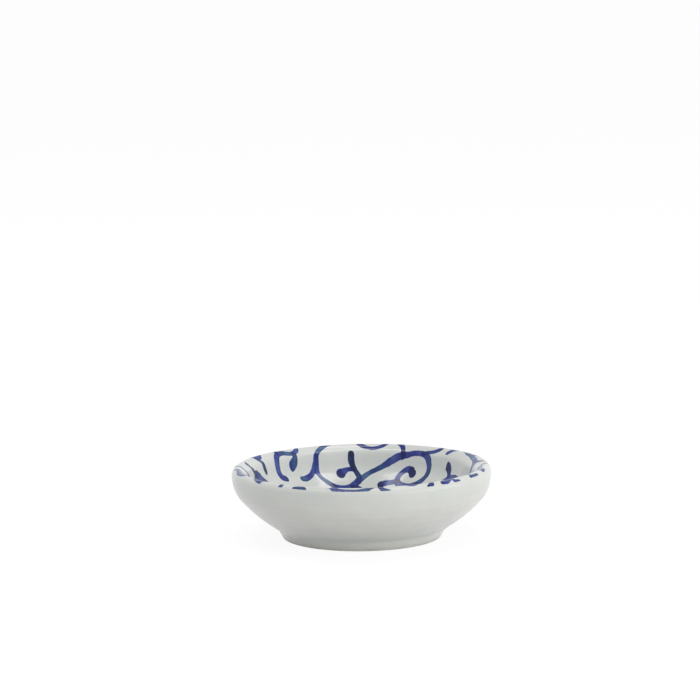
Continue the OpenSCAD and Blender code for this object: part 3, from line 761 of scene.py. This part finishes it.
def paint(mesh, co, runs):
    """Gives every point of the inside its fields; hidden faces stay plain."""
    xy = co[:, :2]
    seen = runs == 0

    def give_depth(name, depth):
        give(mesh, name + "_depth", np.where(seen, depth, -FAR))

    depth, load, green = vine_fields(xy)
    give_depth("vine", np.minimum(depth, RIM * PAINT_REACH_SHARE - np.hypot(*xy.T)))
    give(mesh, "vine_load", load)
    give(mesh, "vine_green", green)
    stalk = unpainted(xy)
    for points in STALK_SHARES:
        which, d = over_stroke(xy, points)[:2]
        stalk[which] = np.maximum(stalk[which], d)
    give_depth("stalk", stalk)
    for name, shares in (("dark_leaf", DARK_LEAF_SHARES), ("pale_leaf", PALE_LEAF_SHARES)):
        depth, where = leaf_fields(xy, shares)
        give_depth(name, depth)
        give(mesh, name + "_place", where)
    washes = {}
    for ring in RING_SHARES:
        depths, washes[ring] = petal_fields(xy, ring)
        depths[~seen] = -FAR
        give(mesh, ring + "_depths", depths)
    washes = [washes["wide"], washes["inner"], np.maximum(washes["small"], washes["bud"])]
    give(mesh, "petal_wash", np.stack(washes, 1) * seen[:, None])
    heart = unpainted(xy)
    for x, y, size in HEART_SHARES:
        heart = np.maximum(heart, size * RIM - np.hypot(xy[:, 0] - x * RIM, xy[:, 1] - y * RIM))
    give_depth("heart", heart)


# Materials


def rgb(text):
    """A colour written as the screen shows it, turned into a linear one."""
    parts = [int(text[i:i + 2], 16) / 255 for i in (0, 2, 4)]
    return [c / 12.92 if c <= 0.04045 else ((c + 0.055) / 1.055) ** 2.4 for c in parts] + [1.0]


class Nodes:
    """Short names for the nodes of one material, or of the world."""

    def __init__(self, owner):
        self.owner = owner
        owner.use_nodes = True
        self.tree = owner.node_tree
        self.tree.nodes.clear()

    def add(self, kind, **values):
        node = self.tree.nodes.new(kind)
        for key, value in values.items():
            setattr(node, key, value)
        return node

    def link(self, source, target):
        self.tree.links.new(source, target)

    def put(self, target, value):
        if isinstance(value, bpy.types.NodeSocket):
            self.link(value, target)
        else:
            target.default_value = value

    def math(self, operation, a, b=0.0, clamp=False):
        node = self.add("ShaderNodeMath", operation=operation, use_clamp=clamp)
        self.put(node.inputs[0], a)
        self.put(node.inputs[1], b)
        return node.outputs[0]

    def plus(self, a, b, clamp=False):
        return self.math("ADD", a, b, clamp)

    def less(self, a, b):
        return self.math("SUBTRACT", a, b)

    def times(self, a, b):
        return self.math("MULTIPLY", a, b)

    def most(self, a, b):
        return self.math("MAXIMUM", a, b)

    def rest(self, a):
        """What is left of one."""
        return self.less(1.0, a)

    def size(self, a):
        return self.math("ABSOLUTE", a)

    def swing(self, noise, width):
        """A noise made to swing about zero."""
        return self.times(self.less(noise, 0.5), width)

    def step(self, value, low, high):
        node = self.add("ShaderNodeMapRange", interpolation_type="SMOOTHSTEP")
        self.put(node.inputs["Value"], value)
        self.put(node.inputs["From Min"], low)
        self.put(node.inputs["From Max"], high)
        return node.outputs[0]

    def mix(self, factor, a, b, blend="MIX"):
        node = self.add("ShaderNodeMix", data_type="RGBA", blend_type=blend)
        self.put(node.inputs[0], factor)
        self.put(node.inputs[6], a)
        self.put(node.inputs[7], b)
        return node.outputs[2]

    def field(self, name):
        return self.add("ShaderNodeAttribute", attribute_type="GEOMETRY", attribute_name=name)

    def number(self, name):
        return self.field(name).outputs["Fac"]

    def split(self, vector):
        node = self.add("ShaderNodeSeparateXYZ")
        self.link(vector, node.inputs[0])
        return node.outputs

    def parts(self, name):
        return self.split(self.field(name).outputs["Vector"])

    def place(self):
        return self.add("ShaderNodeTexCoord").outputs["Object"]

    def noise(self, size_mm, detail, roughness=0.5, at=None):
        node = self.add("ShaderNodeTexNoise")
        self.link(at or self.place(), node.inputs["Vector"])
        node.inputs["Scale"].default_value = 1 / (size_mm * MM)
        node.inputs["Detail"].default_value = detail
        node.inputs["Roughness"].default_value = roughness
        return node.outputs["Fac"]

    def ramp(self, value, colours):
        """The colours in turn, at the places in COBALT_LOADS."""
        node = self.add("ShaderNodeValToRGB")
        elements = node.color_ramp.elements
        while len(elements) < len(colours):
            elements.new(1.0)
        for element, position, colour in zip(elements, COBALT_LOADS, colours):
            element.position = position
            element.color = rgb(colour)
        self.link(value, node.inputs[0])
        return node.outputs["Color"]

    def bump(self, height, depth_mm, after=None):
        node = self.add("ShaderNodeBump")
        node.inputs["Strength"].default_value = 1.0
        node.inputs["Distance"].default_value = depth_mm * MM
        self.link(height, node.inputs["Height"])
        if after:
            self.link(after, node.inputs["Normal"])
        return node.outputs[0]

    def milky(self):
        """Clear glaze over the white body, a little uneven."""
        uneven = self.step(self.noise(9.0, detail=2.0), 0.35, 0.7)
        return self.mix(uneven, rgb("e4e6e2"), rgb("dfe3de"))

    def specked(self, colour, speck):
        """Sparse specks that the clay burns through the glaze."""
        specks = self.times(self.step(self.noise(0.7, detail=0.0), 0.83, 0.87), 0.2)
        return self.mix(specks, colour, rgb(speck))

    def finish(self, colour, roughness, normal, **constants):
        shader = self.add("ShaderNodeBsdfPrincipled")
        for key, value in constants.items():
            shader.inputs[key.replace("_", " ")].default_value = value
        self.put(shader.inputs["Base Color"], colour)
        self.put(shader.inputs["Roughness"], roughness)
        self.link(normal, shader.inputs["Normal"])
        return self.shown(shader.outputs[0])

    def grey(self, kind, level):
        """A shader of one grey."""
        shader = self.add(kind)
        shader.inputs["Color"].default_value = (level, level, level, 1.0)
        return shader

    def blend(self, share, first, second):
        """The first shader where share is nought, the second where it is one."""
        node = self.add("ShaderNodeMixShader")
        for target, source in zip(node.inputs, (share, first, second)):
            self.link(source, target)
        return node.outputs[0]

    def shown(self, surface, kind="ShaderNodeOutputMaterial"):
        self.link(surface, self.add(kind).inputs["Surface"])
        return self.owner


def painted_glaze():
    """Clear glaze over white porcelain, with cobalt painting under it."""
    n = Nodes(bpy.data.materials.new("painted_glaze"))
    # The hand wavers a little: every edge of the painting moves by a hair
    waver = n.plus(n.swing(n.noise(1.6, detail=2.0), 0.22), n.swing(n.noise(0.7, detail=1.0), 0.1))

    def shape(depth, soft=SOFT_EDGE, over=0.0):
        return n.step(n.plus(depth, waver), over - soft, over + soft)

    cloudy = n.noise(3.2, detail=3.0, roughness=0.6)
    watery = n.noise(1.3, detail=3.0, roughness=0.65)

    # Scrolling vine
    vine_load = n.plus(n.number("vine_load"), n.swing(cloudy, 0.3))
    vine_load = n.plus(vine_load, n.swing(watery, 0.22))
    load = n.times(shape(n.number("vine_depth")), vine_load)

    # Leaves and stalks: veins are left light in a dark leaf and drawn in a pale one
    def leaf(name, tone, vein_drop, edge):
        depth = n.number(name + "_depth")
        t, across, length = n.parts(name + "_place")
        body = shape(depth)
        vein = n.rest(n.step(n.size(across), 0.12, 0.32))
        side = n.less(n.times(t, length), n.times(n.size(across), RIB_SLANT))
        wave = n.size(n.less(n.math("FRACT", n.math("DIVIDE", side, RIBS_APART)), 0.5))
        ribs = n.times(n.rest(n.step(wave, 0.03, 0.1)), n.step(depth, 0.5, 1.1))
        veins = n.most(vein, n.times(ribs, 0.8))
        amount = n.plus(tone, n.swing(cloudy, 0.5))
        amount = n.plus(amount, n.times(n.rest(n.step(depth, 0.1, 0.8)), edge))
        amount = n.less(amount, n.times(veins, vein_drop))
        return body, n.times(body, amount)

    pale = leaf("pale_leaf", tone=0.3, vein_drop=-0.25, edge=0.22)[1]
    dark_body, dark = leaf("dark_leaf", tone=0.95, vein_drop=0.3, edge=0.08)
    stalk = n.times(shape(n.number("stalk_depth")), 0.85)
    load = n.most(load, n.times(pale, n.rest(dark_body)))
    load = n.most(n.most(load, dark), stalk)

    # Petals: layer over layer, each with a thin dark line just inside its edge
    washes = n.parts("petal_wash")

    def bloom(load, ring, wash, layers):
        cover, drawn = None, None
        for depth in n.parts(ring + "_depths")[:layers]:
            inside = shape(depth, SOFT_PETAL_EDGE)
            edge = n.less(inside, shape(depth, SOFT_PETAL_EDGE, PETAL_LINE_SHARE * RIM))
            if cover is None:
                cover, drawn = inside, edge
            else:
                drawn = n.plus(n.times(drawn, n.rest(inside)), edge)
                cover = n.most(cover, inside)
        tinted = n.times(wash, n.plus(0.2, n.times(cloudy, 0.5)))
        lines = n.times(drawn, n.plus(0.72, n.times(cloudy, 0.4)))
        kept = n.times(load, n.rest(cover))
        return n.plus(kept, n.times(n.most(tinted, lines), cover))

    load = bloom(load, "wide", washes[0], layers=2)
    load = bloom(load, "small", washes[2], layers=3)
    load = bloom(load, "bud", washes[2], layers=3)
    load = bloom(load, "inner", washes[1], layers=3)
    heart_load = n.plus(0.75, n.times(watery, 0.5))
    load = n.most(load, n.times(shape(n.number("heart_depth")), heart_load))

    # Some of the cobalt fires greener
    turn_green = n.times(n.step(n.number("vine_green"), 0.55, 1.0), 0.75)
    greener = n.times(n.step(n.noise(6.0, detail=2.0), 0.5, 0.75), 0.35)
    turn_green = n.plus(turn_green, greener, clamp=True)
    cobalt = n.mix(turn_green, n.ramp(load, VIOLET_BLUES), n.ramp(load, GREEN_BLUES))
    colour = n.mix(1.0, n.specked(n.milky(), "b9b4a6"), cobalt, "MULTIPLY")

    roughness = n.plus(0.06, n.times(n.noise(2.4, detail=3.0), 0.05))
    peel = n.bump(n.noise(2.6, detail=1.0), 0.03)
    pool = n.bump(n.noise(9.0, detail=1.0), 0.12, peel)
    return n.finish(colour, roughness, pool, IOR=1.5, Specular_IOR_Level=0.3)


def plain_glaze():
    """Clear glaze over white porcelain with the marks of the wheel."""
    n = Nodes(bpy.data.materials.new("plain_glaze"))
    height = n.split(n.place())[2]
    # The marks run round: their noise follows the height, with a slow drift
    wheel_at = n.add("ShaderNodeCombineXYZ")
    n.link(n.plus(height, n.times(n.noise(30.0, detail=1.0), 0.0016)), wheel_at.inputs[2])
    broad = n.noise(2.6, detail=1.0, roughness=0.5, at=wheel_at.outputs[0])
    narrow = n.noise(0.8, detail=2.0, roughness=0.6, at=wheel_at.outputs[0])
    height_mm = n.math("DIVIDE", height, MM)
    base = n.mix(n.step(n.noise(7.0, detail=3.0), 0.3, 0.7), rgb("e3e4e0"), rgb("dedfdb"))
    ringed = n.mix(n.times(n.step(broad, 0.35, 0.7), 0.3), base, rgb("d2d4d0"))
    # Toward the lip it is the glaze of the inside
    ringed = n.mix(n.step(height_mm, WIDEST - 7.0, WIDEST - 0.2), ringed, n.milky())
    # The glaze gathers in the corner above the foot ring
    gathered = n.times(n.step(height_mm, 3.2, 4.6), n.rest(n.step(height_mm, 5.0, 8.5)))
    ringed = n.mix(n.times(gathered, 0.35), ringed, rgb("bfc6c2"))
    colour = n.specked(ringed, "a8a294")
    roughness = n.plus(0.2, n.times(n.noise(2.0, detail=3.0), 0.1))
    rings = n.bump(broad, 0.16)
    lines = n.bump(narrow, 0.02, rings)
    peel = n.bump(n.noise(2.4, detail=1.0), 0.02, lines)
    return n.finish(colour, roughness, peel, IOR=1.5, Specular_IOR_Level=0.2)


def bare_porcelain():
    """Unglazed fired clay, sanded smooth where the dish stands."""
    n = Nodes(bpy.data.materials.new("bare_porcelain"))
    grain = n.noise(0.35, detail=3.0, roughness=0.7)
    base = n.mix(n.step(n.noise(4.0, detail=2.0), 0.3, 0.7), rgb("d9d8d3"), rgb("cfcec8"))
    colour = n.mix(n.times(n.step(grain, 0.6, 0.72), 0.3), base, rgb("b4b0a6"))
    roughness = n.plus(0.6, n.times(grain, 0.25))
    return n.finish(colour, roughness, n.bump(grain, 0.02), IOR=1.5)


# Pieces


def coat(section, apart, most, inner):
    """Sections of a coat: the face that is seen, then its back against the clay."""
    back = section(GLAZE, BACK_RINGS_APART)[::-1]
    return [(section(0, apart), most, inner), (back, BACK_ROUND, inner)]


def made_inside():
    sections = coat(inside_section, RINGS_APART, ROUND, inner=True)
    piece, co, runs = turned_mesh("painted_inside", sections, disc=0.0)
    paint(piece.data, co, runs)
    piece.data.materials.append(painted_glaze())
    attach(piece, "root")
    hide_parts("inner_glaze", "back_scroll", "right_scroll", "front_scroll", "left_scroll",
                "petal_lines", "dark_leaves", "pale_leaves", "flower_hearts")


def made_outside(glaze):
    sections = coat(outside_section, OUTSIDE_RINGS_APART, ROUND, inner=False)
    piece = turned_mesh("glazed_outside", sections, disc=0.12)[0]
    piece.data.materials.append(glaze)
    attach(piece, "root")
    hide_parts("outer_glaze")


def made_base(glaze):
    sections = coat(under_section, BASE_RINGS_APART, BASE_ROUND, inner=False)
    piece = turned_mesh("glazed_base", sections, disc=0.0)[0]
    piece.data.materials.append(glaze)
    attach(piece, "root")
    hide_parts("base_glaze")


def made_clay():
    piece = turned_mesh("turned_clay", [
        (foot_tip_section(TIP_RINGS_APART), ROUND, False),
        (under_section(GLAZE, BACK_RINGS_APART), BACK_ROUND, False),
        (inside_section(GLAZE, BACK_RINGS_APART), BACK_ROUND, True),
        (outside_section(GLAZE, BACK_RINGS_APART), BACK_ROUND, False),
    ], disc=0.3)[0]
    piece.data.materials.append(bare_porcelain())
    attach(piece, "root")
    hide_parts("clay_body")


# Stage: a pale floor, soft lights and the camera, with lengths in metres

AMBIENT = 0.55
FLOOR_COLOUR = 0.86
FLOOR_OPENING = 0.0286
FLOOR_REACH = 6.0
FLOOR_POINTS = 96
# How light the floor is where no shadow falls, and how much of a shadow shows
FLOOR_LIT = 0.57
SHADOW_SHARE = 0.2
LAMPS_AIM = Vector((0, 0, 0.02))


def shown_rays(n):
    """One where the white backdrop shows: to the camera, in gloss and through glass."""
    path = n.add("ShaderNodeLightPath")
    found = path.outputs["Is Camera Ray"]
    for name in ("Is Glossy Ray", "Is Transmission Ray"):
        found = n.most(found, path.outputs[name])
    return found


def pale_floor():
    n = Nodes(bpy.data.materials.new("pale_floor"))
    lit = n.grey("ShaderNodeBsdfDiffuse", FLOOR_COLOUR)
    # What the camera sees: white, less a share of the shadow that falls on it
    shadowed = n.grey("ShaderNodeBsdfDiffuse", FLOOR_COLOUR * SHADOW_SHARE)
    white = n.grey("ShaderNodeEmission", 1.0)
    white.inputs["Strength"].default_value = 1 - SHADOW_SHARE * FLOOR_LIT
    both = n.add("ShaderNodeAddShader")
    n.link(shadowed.outputs[0], both.inputs[0])
    n.link(white.outputs[0], both.inputs[1])
    above = n.blend(shown_rays(n), lit.outputs[0], both.outputs[0])
    # From below it is clear
    below = n.add("ShaderNodeBsdfTransparent")
    from_below = n.add("ShaderNodeNewGeometry").outputs["Backfacing"]
    return n.shown(n.blend(from_below, above, below.outputs[0]))


def made_floor():
    """A wide ring: open where the dish stands, so that its underside gets light."""
    mesh = bpy.data.meshes.new("floor")
    count = FLOOR_POINTS
    turns = np.arange(count) * 2 * math.pi / count
    points = [(r * math.cos(t), r * math.sin(t), 0)
              for r in (FLOOR_OPENING, FLOOR_REACH) for t in turns]
    mesh.from_pydata(points, [], [(k, k + count, (k + 1) % count + count, (k + 1) % count)
                                  for k in range(count)])
    floor = in_scene("floor", mesh)
    floor.data.materials.append(pale_floor())


def made_world():
    n = Nodes(bpy.data.worlds.new("studio"))
    ambient = n.grey("ShaderNodeBackground", 1.0)
    ambient.inputs["Strength"].default_value = AMBIENT
    white = n.grey("ShaderNodeBackground", 1.0)
    backdrop = n.blend(shown_rays(n), ambient.outputs[0], white.outputs[0])
    bpy.context.scene.world = n.shown(backdrop, "ShaderNodeOutputWorld")


def soft_box(name, place, wide, high, power):
    data = bpy.data.lights.new(name, "AREA")
    data.shape = "RECTANGLE"
    data.size = wide
    data.size_y = high
    data.energy = power
    lamp = in_scene(name, data)
    lamp.location = place
    lamp.rotation_euler = (LAMPS_AIM - Vector(place)).to_track_quat("-Z", "Y").to_euler()


# The photograph is 700 by 700 pixels; the dish is small in it and low, so the
# camera looks past it to the middle of the picture
PICTURE = 700
FOCAL_PIXELS = 3270.0
DISTANCE = 1.2
AZIMUTH = 1.3
ELEVATION = 10.95
ROLL = 0.65
TARGET = Vector((0, 0, 0.013))
TARGET_AT = (361.75, 500.5)


def made_camera():
    data = bpy.data.cameras.new("camera")
    data.sensor_width = 36.0
    data.lens = FOCAL_PIXELS * data.sensor_width / PICTURE
    data.clip_start, data.clip_end = 0.05, 20
    camera = in_scene("camera", data)
    a, e = math.radians(AZIMUTH), math.radians(ELEVATION)
    back = Vector((math.sin(a) * math.cos(e), -math.cos(a) * math.cos(e), math.sin(e)))
    right = Vector((math.cos(a), math.sin(a), 0))
    up = back.cross(right)
    camera.location = TARGET + back * DISTANCE
    metres = DISTANCE / FOCAL_PIXELS
    # The picture leans to the left: where the target is in it before that
    across, over = turned(TARGET_AT[0] - PICTURE / 2, PICTURE / 2 - TARGET_AT[1], -ROLL)
    aim = TARGET - right * across * metres - up * over * metres
    level = (aim - camera.location).to_track_quat("-Z", "Y")
    camera.rotation_euler = (level @ Quaternion((0, 0, 1), -math.radians(ROLL))).to_euler()
    bpy.context.scene.camera = camera


made_camera()
made_world()
made_floor()
soft_box("side", (1.0, -0.52, 0.2), wide=1.4, high=0.45, power=4.7)
soft_box("top", (0.0, 0.11, 1.2), wide=1.2, high=0.18, power=3.8)
made_inside()
wheel_glaze = plain_glaze()
made_outside(wheel_glaze)
made_base(wheel_glaze)
made_clay()

bpy.context.scene.view_settings.view_transform = "Standard"
